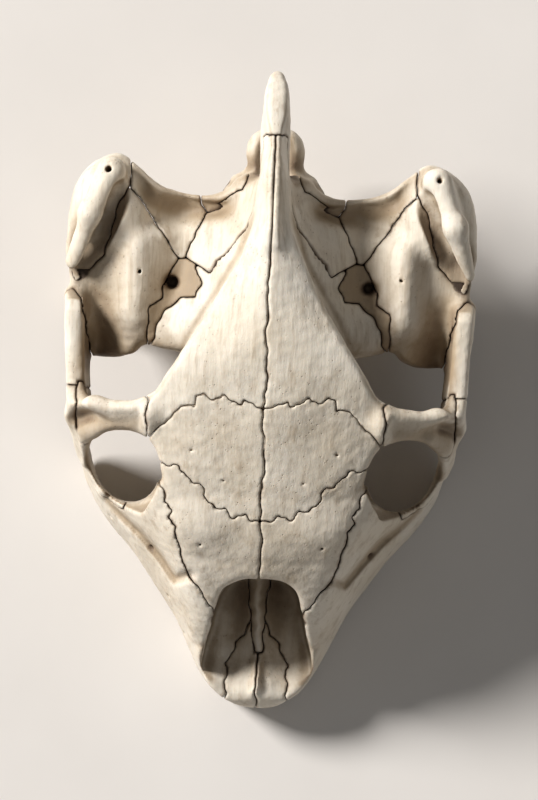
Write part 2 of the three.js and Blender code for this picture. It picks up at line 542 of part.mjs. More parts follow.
// Bones, each with its outline from above, as [distance from the midline, distance along the
// skull], and from the side, as [distance along the skull, height]. A bone takes what lies in
// both and is in no bone before it in the list, and the last two take what is left.
const ANY = [[-90, -10], [90, -10], [90, 80], [-90, 80]];
const BONES = [
  {
    name: "vomer",
    above: [
      [0, -62], [0.8, -61.4], [1.6, -54], [2.4, -44], [3.2, -30], [3.6, -17], [0, -17],
    ],
    beside: [[-63, -2], [-16, -2], [-16, 24], [-63, 24]],
  },
  {
    name: "basioccipital",
    above: [[0, 33], [7.5, 33], [11, 38], [12.5, 46], [9, 52], [8.5, 66], [0, 66]],
    beside: [[32, 5], [70, 5], [70, 31], [50, 29.8], [44, 25.5], [32, 24.5]],
  },
  {
    name: "basisphenoid",
    above: [[0, 8], [5, 9], [8.5, 16], [10, 26], [9, 34], [0, 34]],
    beside: [[7, 5], [35, 5], [35, 25.5], [7, 25.5]],
  },
  {
    name: "supraoccipital",
    above: [
      [0, 24], [14, 27], [16.4, 28.8], [20.2, 30.6], [17.5, 37], [14.6, 43], [7, 47], [5.5, 52],
      [5, 80], [0, 80],
    ],
    beside: [
      [24, 34], [40, 34], [47, 37], [80, 36], [80, 62], [60.6, 62], [59.6, 46.4], [44, 48.6],
      [38, 46], [30, 42], [24, 40],
    ],
  },
  {
    name: "premaxilla",
    pair: true,
    above: [
      [0, -80], [8.6, -80], [7.2, -71.5], [7.0, -64], [5.4, -60.4], [3.2, -57.4], [1.2, -53],
      [0, -53],
    ],
    beside: [[-80, -4], [-52, -4], [-52, 21], [-80, 21]],
  },
  {
    name: "palatine",
    pair: true,
    above: [
      [0, -34], [4.5, -35.5], [8, -37], [14.5, -35], [19.5, -27], [21, -18], [20.5, -10],
      [14, -8], [4, -9], [0, -9],
    ],
    beside: [[-38, 8], [-7, 8], [-7, 26], [-38, 26]],
  },
  {
    name: "pterygoid",
    pair: true,
    above: [[0, -14], [30, -14], [30, 2], [24, 8], [34, 13], [34, 34], [20, 36], [13, 44], [0, 46]],
    beside: [[-14, 5], [46, 5], [46, 24.5], [14, 24.5], [10, 26], [-4, 26], [-14, 24]],
  },
  {
    name: "prefrontal",
    pair: true,
    above: [
      [0, -54], [10.6, -54], [10.8, -50.8], [17, -43], [20.4, -32], [22.7, -24], [26.5, -20],
      [26.5, -16.4], [20.6, -18.2], [16, -20.5], [13, -25], [11, -27.4], [8, -28.8], [0, -30.2],
    ],
    beside: [[-56, 24], [-8, 24], [-8, 70], [-56, 70]],
  },
  {
    name: "frontal",
    pair: true,
    above: [
      [0, -32], [18, -32], [20.5, -20.5], [28, -19.5], [27.5, -12.5], [25.2, -9.6], [20, -5],
      [15, -1.7], [10, -1.9], [0, -4],
    ],
    beside: [[-34, 26], [2, 26], [2, 70], [-34, 70]],
  },
  {
    name: "postorbital",
    pair: true,
    above: [
      [26.5, -20], [36, -20], [40.6, -15.4], [44.2, -12.6], [44.2, 1], [30, 1], [27.4, -2.6],
      [28, -7], [27.2, -11],
    ],
    beside: [[-22, 36.5], [-8, 36.5], [-3, 39.5], [2, 40], [2, 64], [-22, 64]],
  },
  {
    name: "jugal",
    pair: true,
    above: [[33.2, -31], [52, -31], [52, 4], [28, 4], [28, -14], [31.4, -24.4]],
    beside: [
      [-27.6, 38], [-29.2, 31], [-27, 25], [-20, 22.6], [-12, 20.5], [-9, 14], [1, 14],
      [-0.6, 24], [-0.4, 34], [0.4, 50], [-20, 50],
    ],
  },
  {
    name: "quadratojugal",
    pair: true,
    above: [
      [39.6, -4], [41.2, 6], [41.8, 9], [43.2, 16], [44.3, 20.5], [46, 22.5], [54, 22.5], [54, -4],
    ],
    beside: [[-4, 14], [12, 14], [13.4, 22], [13, 30], [16, 36], [24, 37.4], [24, 50], [-4, 50]],
  },
  {
    name: "squamosal",
    pair: true,
    above: [
      [33.5, 60], [33.5, 47.3], [36.2, 42.6], [37.5, 36.8], [39.3, 30.5], [43.0, 26], [44.5, 22],
      [54, 22], [54, 60],
    ],
    beside: [[10, 37], [22, 38.5], [33, 35.5], [40, 31], [46, 28.5], [60, 26], [60, 60], [10, 60]],
  },
  {
    name: "parietal",
    pair: true,
    above: [
      [0, -14], [30, -14], [30, -2], [29, 8], [26.5, 12], [26, 15], [24.3, 18], [21, 21.1],
      [17.5, 21.6], [15.9, 25], [17.5, 28.6], [10, 40], [5, 47], [5, 62], [0, 62],
    ],
    beside: [[-16, 26], [18, 26], [22, 33], [30, 36], [62, 43], [62, 70], [-16, 70]],
  },
  {
    name: "prootic",
    pair: true,
    above: [
      [0, 8], [28.3, 8], [28.3, 14.5], [28, 19.2], [25, 20.9], [25, 23.9], [23.3, 27.4],
      [21.8, 30.5], [19, 30.5], [14, 29], [4, 32], [0, 32],
    ],
    beside: [[4, 22], [36, 22], [36, 60], [4, 60]],
  },
  {
    name: "exoccipital",
    pair: true,
    above: [[0, 39], [14, 40], [17, 44], [17, 64], [0, 64]],
    beside: [[36, 13], [66, 13], [66, 44], [36, 44]],
  },
  {
    name: "opisthotic",
    pair: true,
    above: [[0, 28], [21.5, 30.5], [25.4, 35.6], [30, 42.7], [33.7, 47], [33.5, 60], [0, 60]],
    beside: [[26, 20], [62, 20], [62, 60], [26, 60]],
  },
  {
    name: "maxilla",
    pair: true,
    above: [[0, -80], [60, -80], [60, -8], [0, -8]],
    beside: ANY,
  },
  {
    name: "quadrate",
    pair: true,
    above: [[0, -8], [60, -8], [60, 80], [0, 80]],
    beside: ANY,
  },
];

// An outline with each of its sides moved outwards
function grown(outline, by) {
  const area = outline.reduce((sum, [u, v], i) => {
    const [pu, pv] = outline[(i + outline.length - 1) % outline.length];
    return sum + pu * v - u * pv;
  }, 0);
  const side = Math.sign(area) * by;
  return outline.map(([u, v], i) => {
    const [pu, pv] = outline[(i + outline.length - 1) % outline.length];
    const [nu, nv] = outline[(i + 1) % outline.length];
    const before = new THREE.Vector2(v - pv, pu - u).normalize();
    const after = new THREE.Vector2(nv - v, u - nu).normalize();
    const scale = side / (1 + before.dot(after));
    return [u + (before.x + after.x) * scale, v + (before.y + after.y) * scale];
  });
}

const wasm = await Module();
wasm.setup();

const solid = (points, triangles) =>
  new wasm.Manifold(
    new wasm.Mesh({
      numProp: 3,
      vertProperties: new Float32Array(points),
      triVerts: new Uint32Array(triangles),
    }),
  );

function solidOf(geometry) {
  geometry.deleteAttribute("normal");
  geometry.deleteAttribute("uv");
  const merged = mergeVertices(geometry, 1e-5);
  return solid(merged.attributes.position.array, merged.index.array);
}

const FAR = 100;
function prism(outline, low, high) {
  const shape = new THREE.Shape(outline.map(([u, v]) => new THREE.Vector2(u, v)));
  const depth = high - low;
  return new THREE.ExtrudeGeometry(shape, { depth, bevelEnabled: false }).translate(0, 0, low);
}

// What a bone may take: side is 1 or -1 for one of a pair, and 0 for a bone on the midline
function region(bone, side, by) {
  const limit = side === 0 ? -FAR : SUTURE_GAP / 2 - by;
  let above = bone.above.map(([x, y]) => [x === 0 ? SUTURE_GAP / 2 : x, y]);
  if (side === 0)
    above = [
      ...bone.above.filter(([x]) => x > 0),
      ...bone.above.filter(([x]) => x > 0).reverse().map(([x, y]) => [-x, y]),
    ];
  above = grown(above, by).map(([x, y]) => [side === -1 ? -x : x, y]);
  const across = new THREE.Matrix4().set(0, 0, 1, 0, 1, 0, 0, 0, 0, 1, 0, 0, 0, 0, 0, 1);
  const range = side === -1 ? [-FAR, -limit] : [limit, FAR];
  const beside = prism(grown(bone.beside, by), ...range).applyMatrix4(across);
  return solidOf(prism(above, -FAR, FAR)).intersect(solidOf(beside));
}

const REACH = CELL * Math.ceil((HALF_WIDTH + 3) / CELL);
const LOW = [-REACH, -TIP - 3, -2.6];
const HIGH = [REACH, TIP + 4, HEIGHT + 4];
const faces = simplified(surface((x, y, z) => skull(Math.abs(x), y, z), LOW, HIGH), TRIANGLES);
const positions = new THREE.Float32BufferAttribute(faces.flat(2), 3);
const whole = solidOf(new THREE.BufferGeometry().setAttribute("position", positions));

// What stands on the floor is cut level at height 0
const EVERYWHERE = [[-FAR, -FAR], [FAR, -FAR], [FAR, FAR], [-FAR, FAR]];
let rest = whole.intersect(solidOf(prism(EVERYWHERE, 0, FAR)));

const group = new THREE.Group();
for (const bone of BONES)
  for (const side of bone.pair ? [1, -1] : [0]) {
    const taken = rest.intersect(region(bone, side, 0)).decompose();
    const piece = taken.reduce((a, b) => (b.volume() > a.volume() ? b : a)).getMesh();
    rest = rest.subtract(region(bone, side, SUTURE_GAP));
    const geometry = new THREE.BufferGeometry();
    geometry.setAttribute("position", new THREE.BufferAttribute(piece.vertProperties, 3));
    geometry.setIndex(new THREE.BufferAttribute(piece.triVerts, 1));
    const mesh = new THREE.Mesh(geometry, new THREE.MeshStandardMaterial({ color: BONE_COLOUR }));
    mesh.name = side === 0 ? bone.name : `${side === 1 ? "left" : "right"}_${bone.name}`;
    group.add(mesh);
  }
export default group;
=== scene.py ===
import math

import bpy
import numpy as np
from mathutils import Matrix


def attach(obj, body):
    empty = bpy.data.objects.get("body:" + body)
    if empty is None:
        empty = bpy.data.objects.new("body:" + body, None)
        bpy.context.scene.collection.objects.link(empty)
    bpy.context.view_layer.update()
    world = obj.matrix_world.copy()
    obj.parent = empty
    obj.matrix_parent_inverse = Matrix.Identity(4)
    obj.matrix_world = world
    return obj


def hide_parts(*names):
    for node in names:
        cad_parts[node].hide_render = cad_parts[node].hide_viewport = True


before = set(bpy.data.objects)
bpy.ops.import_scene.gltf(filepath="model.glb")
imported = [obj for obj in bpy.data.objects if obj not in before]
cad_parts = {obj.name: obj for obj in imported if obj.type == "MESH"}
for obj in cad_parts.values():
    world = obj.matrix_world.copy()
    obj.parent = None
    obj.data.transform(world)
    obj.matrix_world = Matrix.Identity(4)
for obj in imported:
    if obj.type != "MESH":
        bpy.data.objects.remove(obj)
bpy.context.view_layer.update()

# Driving sizes, as in the solids
MM = 0.001
LENGTH = 150
TIP = LENGTH / 2
HALF_WIDTH = 48.2
HEIGHT = 62

# Finer than in the solids: the gap of a suture, and the cubes on which the surface is found
SUTURE_GAP = 0.12
CELL = 0.46


# Joining and blending of distances
def blend_min(a, b, width):
    h = np.maximum(width - np.abs(a - b), 0) / width
    return np.minimum(a, b) - h * h * width * 0.25


def blend_max(a, b, width):
    return -blend_min(-a, -b, width)


def ramp(t):
    s = np.clip(t, 0, 1)
    return s * s * (3 - 2 * s)


def hill(t, centre, width):
    return np.exp(-(((t - centre) / width) ** 2))


def curve(t, points):
    """A smooth curve through (position, value) pairs, level beyond its ends."""
    at, value = np.array(points, float).T
    before = np.r_[0, np.arange(len(at) - 1)]
    after = np.r_[np.arange(1, len(at)), len(at) - 1]
    slope = (value[after] - value[before]) / (at[after] - at[before])
    t = np.clip(t, at[0], at[-1])
    i = np.clip(np.searchsorted(at, t, side="right") - 1, 0, len(at) - 2)
    h = at[i + 1] - at[i]
    s = (t - at[i]) / h
    return (
        (2 * s**3 - 3 * s**2 + 1) * value[i]
        + (s**3 - 2 * s**2 + s) * h * slope[i]
        + (3 * s**2 - 2 * s**3) * value[i + 1]
        + (s**3 - s**2) * h * slope[i + 1]
    )


def rounded(corners, steps=3):
    """A closed outline, rounded through its corners."""
    corners = np.array(corners, float)
    points = []
    for i in range(len(corners)):
        a, b, c, d = (corners[(i + k) % len(corners)] for k in (-1, 0, 1, 2))
        for k in range(steps):
            s = k / steps
            cubic = (2 * a - 5 * b + 4 * c - d) * s**2 + (3 * b - a - 3 * c + d) * s**3
            points.append(0.5 * (2 * b + (c - a) * s + cubic))
    return np.array(points)


def mirrored(half):
    """Half an outline, from its front end on the midline to its back end, made whole and rounded."""
    return rounded(half + [(-x, y) for x, y in half[::-1] if x > 0])


def outline_distance(u, v, outline):
    nearest = np.full(np.broadcast(u, v).shape, 1e9)
    inside = np.zeros(nearest.shape, bool)
    for (au, av), (bu, bv) in zip(outline, np.roll(outline, -1, axis=0)):
        eu, ev = bu - au, bv - av
        t = np.clip(((u - au) * eu + (v - av) * ev) / (eu * eu + ev * ev), 0, 1)
        nearest = np.minimum(nearest, (u - au - eu * t) ** 2 + (v - av - ev * t) ** 2)
        if ev != 0:
            inside ^= ((av > v) != (bv > v)) & (u < eu * (v - av) / ev + au)
    return np.where(inside, -1.0, 1.0) * np.sqrt(nearest)


def ball(p, centre, radii):
    off = [p[i] - centre[i] for i in range(3)]
    near = np.sqrt(sum((off[i] / radii[i]) ** 2 for i in range(3)))
    slope = np.sqrt(sum((off[i] / radii[i] ** 2) ** 2 for i in range(3))) + 1e-6
    return near * (near - 1) / slope


def bar(p, a, b, ra, rb, wide=(1, 1, 1)):
    """A bar with round ends, of two radii, widened along one axis."""
    span = [b[i] - a[i] for i in range(3)]
    along = sum((p[i] - a[i]) * span[i] for i in range(3))
    t = np.clip(along / sum(s * s for s in span), 0, 1)
    off = [(p[i] - a[i] - t * span[i]) / wide[i] for i in range(3)]
    return np.sqrt(off[0] ** 2 + off[1] ** 2 + off[2] ** 2) - (ra + (rb - ra) * t)


# Outlines seen from above, as (distance from the midline, distance along the skull)
FACE = mirrored([
    (0, -TIP), (5.2, -74.2), (10.0, -71.4), (13.6, -67), (16.6, -61), (19.5, -55), (23.6, -48.4),
    (27.9, -42.2), (32.7, -36), (36.6, -31), (39.5, -27), (41.5, -23), (43.7, -17), (45.5, -12),
    (46.8, -6), (47.5, 4), (HALF_WIDTH, 20), (47.2, 34), (0, 38),
])
ROOF = mirrored([
    (0, -39), (10, -39), (16.5, -38), (19.2, -33), (21.2, -28), (23.0, -22.5), (25.2, -16),
    (28.4, -11.0), (29.6, -7), (29.0, -3.2), (25.6, -0.4), (22.8, 4.2), (19.3, 9.8), (15.2, 16.9),
    (11.2, 23.9), (8.6, 28.5), (6.3, 33.3), (3.2, 42.7), (1.6, 52), (0, 53),
])
NOSTRIL = mirrored([
    (0, -43.6), (5, -44.2), (8.6, -46.6), (10.2, -51), (11.2, -55.8), (12.3, -60.5), (12.8, -64),
    (12.0, -68), (10.5, -73), (8, -80), (0, -84),
])
EAR_REGION = mirrored([
    (0, 14), (10, 13.0), (18, 10.6), (24, 10.0), (29.0, 10.2), (31.5, 8.2), (36, 7.0), (41, 7.6),
    (44.2, 11), (46.0, 18), (46.6, 25), (HALF_WIDTH, 31), (47.4, 38), (46.0, 43.5), (43.2, 48.8),
    (39.6, 53.0), (35.8, 54.4), (31.2, 51.0), (26.6, 47.4), (21, 45.8), (14, 45.2), (9, 46.8),
    (5.6, 50), (0, 52),
])
PALATE = mirrored([
    (0, -36), (14, -36), (20.0, -31), (20.5, -22), (19.5, -13), (22, -8.5), (24, -6), (20, -2.5),
    (12, 3), (10, 9), (13, 15), (24, 17), (36, 19), (38, 25), (30, 30), (17, 32), (12, 42), (9, 50),
    (0, 52),
])
ORBIT = rounded([
    (24.6, -16.4), (26.8, -12.2), (31.5, -10.2), (36.8, -10.6), (40.0, -13.8), (40.4, -18.0),
    (38.6, -22.6), (35.2, -26.0), (31.2, -27.2), (27.2, -26.0), (24.7, -22.0),
])

# Outlines seen from the side, as (distance along the skull, height)
CREST = rounded([
    (24, 50), (34, 60), (44, 57.6), (54, 54.6), (62, 51.2), (69, 47.6), (73.6, 44.6),
    (TIP, 42.2), (74, 40.4), (70, 39.8), (62, 40.6), (54, 41.6), (46, 42), (34, 42),
])
CHEEK = rounded([
    (-34, 0.4), (-24, 0.2), (-18.5, 0.6), (-13.5, 5), (-9, 13), (-3.5, 20.5), (4, 24.2), (12, 23.0),
    (19, 19), (23, 30), (20, 40.5), (12, 40.5), (1, 40.5), (-4, 42.5), (-9, 45.5), (-12, 43),
    (-11, 36), (-14.5, 29.6), (-21, 26.8), (-28, 29), (-34, 34),
])

# Height of the skull roof along the midline, from the top of the nose opening to the crest
RIDGE = [
    (-60, 25), (-50, 37), (-43.6, 42.6), (-36, 47), (-28, 50.6), (-18, 54.5), (-4, 59), (8, 61.6),
    (16, HEIGHT), (26, 60.8), (34, 58.8), (44, 56.4), (54, 53.4), (62, 50.4), (70, 46.6),
]


def roof_height(x, y):
    gable = ramp((y - 2) / 34)
    drop = 2.6 * (x / 20) ** 2 * (1 - 0.3 * gable)
    return curve(y, RIDGE) - drop - gable * 0.62 * (np.sqrt(x * x + 6) - 2.45)


def bend(t):
    return 0.5 * (t + np.sqrt(t * t + 25)) - 0.35


def face_lean(z):
    """How far the side of the face leans inwards at a height."""
    return 0.15 * bend(z - 12) + 0.27 * bend(z - 26) + 0.12 * bend(7 - z)


def snout(p, plan):
    """The walls of the face, the nose chamber with its keel, and the mouth with its ridges."""
    x, y, z = p
    nose_plane = 43.4 + (y + 43.6) * 0.97
    top = blend_min(roof_height(x, y), nose_plane + 0 * x, 3)
    d = blend_max((plan + face_lean(z)) * 0.94, (z - top) * 0.85, 3)
    d = blend_max(d, y + 25 - 4 * ramp((x - 20) / 4), 3)
    d = blend_max(d, 1.7 * hill(y, -48, 14) - 0.6 - z, 1.2)
    basin = 13.2 + 2.6 * ramp((-62 - y) / 7) + 3.5 * ramp((y + 50) / 16)
    keel = 1.9 * hill(x, 0, 1.1) * ramp((-30 - y) / 10)
    floor = basin + keel - hill(x, 6.5, 3)
    behind = ball(p, (0, -41, 28), (11.5, 14, 11))
    chamber = blend_max(blend_min(outline_distance(x, y, NOSTRIL), behind, 3), floor - z, 2)
    d = blend_max(d, -chamber, 1.4)
    depth = -plan
    rise = ramp((y + 50) / 16) * ramp((depth - 10) / 6)
    vault = 7.5 + 2.6 * ramp((depth - 8.5) / 5) + 6.5 * rise
    inner_ridge = 3.6 * hill(depth, 8.6, 1.5) * ramp((-28 - y) / 6)
    mouth = blend_max(z - (vault - inner_ridge), plan + 2.8, 1.6)
    return blend_max(d, -mouth, 1.2)


def cranium(p):
    """The skull roof, the walls of the braincase below it and the crest behind."""
    x, y, z = p
    top = roof_height(x, y)
    roof = blend_max(outline_distance(x, y, ROOF), (z - top) * 0.85, 1.8)
    roof = blend_max(roof, top - 5 - z, 2.5)
    half = curve(y, [(-8, 6.5), (-2, 8.5), (8, 10), (20, 9.5), (30, 7.5), (38, 5.2), (48, 3.2)])
    widest = curve(y, [(5, 6), (12, 14.5), (18, 13.5), (24, 10), (30, 9), (40, 7.5), (48, 5)])
    flare = widest * ramp((53.5 - z) / 17) ** 2 * ramp((y - 5) / 5)
    wall = blend_max((x - half - flare) * 0.8, z - top + 1, 1.5)
    wall = blend_max(blend_max(wall, 20 - z, 2), blend_max(-y - 2, y - 49, 2), 2)
    edge_half = curve(y, [(30, 2.2), (44, 1.5), (58, 1.5), (64, 2.3), (70, 2.6), (TIP, 1.4)])
    base_half = curve(y, [(30, 5), (44, 3.6), (60, 3.3), (66, 2.9), (71, 2.6), (TIP, 1.4)])
    below = np.maximum(curve(y, RIDGE) - z, 0)
    thick = blend_min(edge_half + 0.3 * below, base_half, 0.8)
    crest = blend_max(outline_distance(y, z, CREST), x - thick, 1.6)
    return blend_min(blend_min(roof, wall, 2), crest, 2)


def ear_region(p):
    """The floor of the temple with its hump and hollows, and the squamosal with its rim."""
    x, y, z = p
    top = (
        38.6
        - 2.4 * hill(x, 21, 4.5)
        + 3.8 * hill(x, 31.5, 4.6) * ramp((50 - y) / 18) * (1 - 0.6 * ramp((22 - y) / 12))
        - 4.6 * ramp((16.5 - y) / 9) * ramp((x - 23) / 6) * ramp((45 - x) / 4)
        - 3.6 * hill(x, 40.2, 4.2) * ramp((41 - y) / 9)
        - 3.4 * hill(x, 38.5, 6) * ramp((19 - y) / 8)
        - 3.2 * hill(y + 0.25 * x, 46.5, 3.2) * ramp((x - 6) / 8) * ramp((35 - x) / 8)
    )
    under = curve(x, [(0, 15), (10, 17), (18, 22), (28, 25), (40, 20), (48, 20)])
    under = under + 9 * ramp((y - 36) / 14) * ramp((x - 20) / 10)
    d = blend_max(outline_distance(x, y, EAR_REGION), z - top, 2.5)
    d = blend_max(d, under - z, 3)
    bulb = ball(p, (38.6, 41.5, 34.5), (8.4, 11.6, 9.4))
    rim_back = bar(p, (38.0, 50, 42.2), (42.6, 40, 44.6), 3.4, 2.5)
    rim_front = bar(p, (42.6, 40, 44.6), (45.8, 29, 40.6), 2.5, 2.0)
    foot = bar(p, (35.4, 45.5, 43.4), (43.4, 28, 39.6), 2.4, 2.6)
    d = blend_min(blend_min(d, bulb, 3), blend_min(rim_back, rim_front, 2.5), 2)
    return blend_max(d, -foot, 1.5)


def quadrate_stem(p):
    """The stem below the ear and the saddle of the jaw joint."""
    stem = bar(p, (38.5, 27, 27), (37.5, 19.8, 5), 10.5, 5.0, (1, 0.85, 1))
    joint = bar(p, (33.0, 18.8, 3.8), (42.0, 19.2, 4.2), 4.4, 4.6)
    saddle = ball(p, (37.6, 19, -2.2), (4, 12, 3.4))
    return blend_max(blend_min(stem, joint, 3), -saddle, 1.5)


def cheek(p, plan):
    """The plate below the eye, the arch behind it and the bar behind the eye socket."""
    x, y, z = p
    toward = ramp((-16 - y) / 12)
    behind = ramp((y + 9) / 8)
    arch = 0.1 * bend(z - 27) * (1 - behind) + 0.14 * bend(34 - z) * behind
    lean = arch * (1 - toward) + toward * (face_lean(z) - 0.3)
    half = 2.3 - 0.9 * ramp((-6 - y) / 8)
    shell = np.abs(plan + lean + half + 0.3) - half
    plate = blend_max(outline_distance(y, z, CHEEK), shell, 2)
    upper = bar(p, (27.5, -6.4, 52.4), (40, -6.6, 47.4), 3.4, 3.2, (1, 1.05, 1))
    lower = bar(p, (40, -6.6, 47.4), (43.8, -7.6, 37), 3.2, 3.0, (1, 1.3, 1))
    return blend_min(plate, blend_min(upper, lower, 2.5), 3)


def palate(p):
    """The plate from the palatines to the braincase, with what braces it."""
    x, y, z = p
    top = curve(y, [(-36, 21), (-20, 21.5), (-4, 22.5), (8, 22), (20, 22), (50, 24)])
    top = top - 3 * (x / 24) ** 2
    thick = curve(y, [(-36, 4.5), (-10, 4.2), (5, 6), (20, 7), (50, 8)])
    arch = 2 * hill(x, 0, 9) * ramp((-2 - y) / 10)
    d = blend_max(outline_distance(x, y, PALATE), z - top, 2.5)
    d = blend_max(d, top - thick + arch - z, 2)
    bridge = bar(p, (16, -6.8, 19), (42, -6.8, 28), 3.2, 3.6)
    pillar = bar(p, (13, -30.5, 44), (9, -30, 18), 5.0, 4.5, (1.4, 1, 1))
    vomer = bar(p, (0, -60, 11.6), (0, -18, 19.6), 1.6, 2.6)
    return blend_min(blend_min(blend_min(d, bridge, 4), pillar, 4), vomer, 3)


def occiput(p):
    """The condyle on its neck, and the two tubers below it."""
    neck = bar(p, (0, 44, 22), (0, 52, 23.6), 8.0, 5.0)
    condyle = ball(p, (2.6, 56.3, 24.4), (4.3, 5.5, 5.0))
    tuber = ball(p, (8, 43, 15.5), (4.2, 6, 4.5))
    return blend_min(blend_min(neck, condyle, 1.6), tuber, 4)


def eye_space(p):
    """The space of the eye, inside its rim and behind it."""
    x, y, z = p
    ox, oy, oz = x - 33.0, y + 18.4, z - 38
    along = oy * 0.927 - ox * 0.375
    out = oy * 0.375 + ox * 0.927
    up = oz * 0.766 - out * 0.643
    through = oz * 0.643 + out * 0.766
    rim = (np.sqrt((along / 8.8) ** 2 + (up / 12.8) ** 2) - 1) * 9.3
    rim = blend_max(rim, -through - 7, 2)
    return blend_min(rim, ball(p, (22, -16.5, 35.5), (17, 8.8, 11.5)), 1.5)


def eye_web(p, plan):
    """The funnel behind the eye, from the bar down to the rim of the cheek."""
    inner = bar(p, (26.5, -9.2, 48.8), (37.5, -9.0, 44.2), 2.2, 2.4)
    middle = bar(p, (37.5, -9.0, 44.2), (42.6, -11.0, 36), 2.4, 2.6)
    outer = bar(p, (42.6, -11.0, 36), (43.2, -17.0, 28), 2.6, 2.0)
    web = blend_min(blend_min(inner, middle, 1), outer, 1)
    return blend_max(web, plan + 0.1 * bend(p[2] - 27) + 0.5, 1)


def bar_bevel(p):
    """The slope that the bar behind the eye turns to the eye."""
    x, y, z = p
    plane = (z - 55.4 + 0.39 * (x - 28) - (y + 5.0)) * 0.66
    return plane - 1.2 * np.maximum(29.5 - x, 0) - 3 * np.maximum(-12 - y, 0)


def openings(p):
    """The holes of the eye, the ear, the spinal cord and the front of the braincase, the space
    between the eyes, the nose passage, and the large hole beside the braincase."""
    x, y, z = p
    ear = ball(p, (52.5, 28.5, 26), (16, 11, 10.8))
    notch = bar(p, (40, 33, 27), (34, 37, 26), 2.6, 1.6)
    holes = [
        outline_distance(x, y, ORBIT) + 0 * z,
        blend_min(ear, notch, 2),
        ball(p, (0, 53, 33.6), (6.0, 13, 6.6)),
        ball(p, (0, -5, 38), (6, 11, 9)),
        bar(p, (0, -34, 31), (0, -20, 36), 6.0, 7.0),
        ball(p, (6.4, -32, 14), (3.6, 7.5, 12)),
        bar(p, (24, 24.6, 45), (22.8, 25, 33), 1.9, 1.2),
    ]
    nearest = holes[0]
    for hole in holes[1:]:
        nearest = np.minimum(nearest, hole)
    return nearest


# Small holes for nerves and vessels, each from its mouth inwards, and their radius
FORAMINA = [
    ((38.6, 50.6, 45), (38.2, 49.0, 38), 0.8),
    ((40.2, 48.2, 44), (39.6, 47.0, 37), 0.6),
    ((14.6, -36.4, 52), (14.0, -36.0, 44), 0.45),
    ((9.5, -21.0, 58), (9.3, -21.0, 51), 0.4),
    ((17.2, -14.0, 60), (16.8, -14.0, 52), 0.45),
    ((29.5, -39.5, 30), (24.0, -36.5, 27), 0.6),
    ((24.0, -50.0, 22), (18.0, -47.0, 20), 0.55),
    ((19.5, -58.0, 16), (13.0, -56.0, 15), 0.5),
    ((37.0, -31.5, 18), (32.0, -28.0, 18), 0.5),
    ((30.5, 27.0, 46), (30.5, 27.0, 38), 0.5),
]


# Shallow furrow down the side of the face, seen from above
FURROW = [(36.4, -26.6), (34.8, -28.4), (28.4, -34.0), (23.8, -39.4), (19.9, -44.4), (16.3, -43.6)]

# How deep the fine forms are that only the scene has, and the lip beside the gutter
FURROW_DEPTH = 1.3
GUTTER_DEPTH = 1.4
GUTTER_LIP = 0.7
EDGE_LINE_DEPTH = 0.45


def line_distance(u, v, line):
    """Distance to an open line of straight stretches."""
    nearest = np.full(np.broadcast(u, v).shape, 1e9)
    for (au, av), (bu, bv) in zip(line[:-1], line[1:]):
        eu, ev = bu - au, bv - av
        t = np.clip(((u - au) * eu + (v - av) * ev) / (eu * eu + ev * ev), 0, 1)
        nearest = np.minimum(nearest, (u - au - eu * t) ** 2 + (v - av - ev * t) ** 2)
    return np.sqrt(nearest)


def gutter_run(x, y):
    """1 along the gutter at the back edge of the ear region, 0 past its ends."""
    return ramp((x - 7) / 4) * ramp((33 - x) / 4) * ramp((y - 36) / 5)


def relief(p):
    """How much lower the surface lies: the furrow of the face, the gutter along the back edge of
    the ear region with its lip, and the fine line under the edge of the roof."""
    x, y, z = p
    furrow = FURROW_DEPTH * hill(line_distance(x, y, FURROW), 0, 1.1) * ramp((z - 20) / 6)
    edge = outline_distance(x, y, EAR_REGION)
    gutter = GUTTER_DEPTH * hill(edge, -3.4, 1.9) - GUTTER_LIP * hill(edge, -0.6, 1.0)
    gutter = gutter * gutter_run(x, y) * ramp((z - 33) / 3)
    line = EDGE_LINE_DEPTH * hill(outline_distance(x, y, ROOF), 0.7, 0.6)
    line = line * ramp((y - 3) / 6) * ramp((45 - y) / 8) * ramp((z - 40) / 3)
    return furrow + gutter + line


def skull(x, y, z):
    p = (x, y, z)
    plan = outline_distance(x, y, FACE)
    d = blend_min(cranium(p), snout(p, plan), 1.2)
    d = blend_min(d, ear_region(p), 5.5)
    d = blend_min(d, quadrate_stem(p), 4)
    d = blend_min(d, palate(p), 4)
    d = blend_min(d, occiput(p), 3)
    d = blend_min(d, cheek(p, plan), 1 + 1.5 * ramp((y + 26) / 8))
    d = blend_max(d + relief(p), bar_bevel(p), 1.2)
    d = blend_min(blend_max(d, -eye_space(p), 1.4), eye_web(p, plan), 2.6)
    d = blend_max(d, -openings(p), 1.4)
    for mouth, end, radius in FORAMINA:
        d = blend_max(d, -bar(p, mouth, end, radius, radius * 0.7), 0.4)
    return blend_max(d, -z, 0.2)


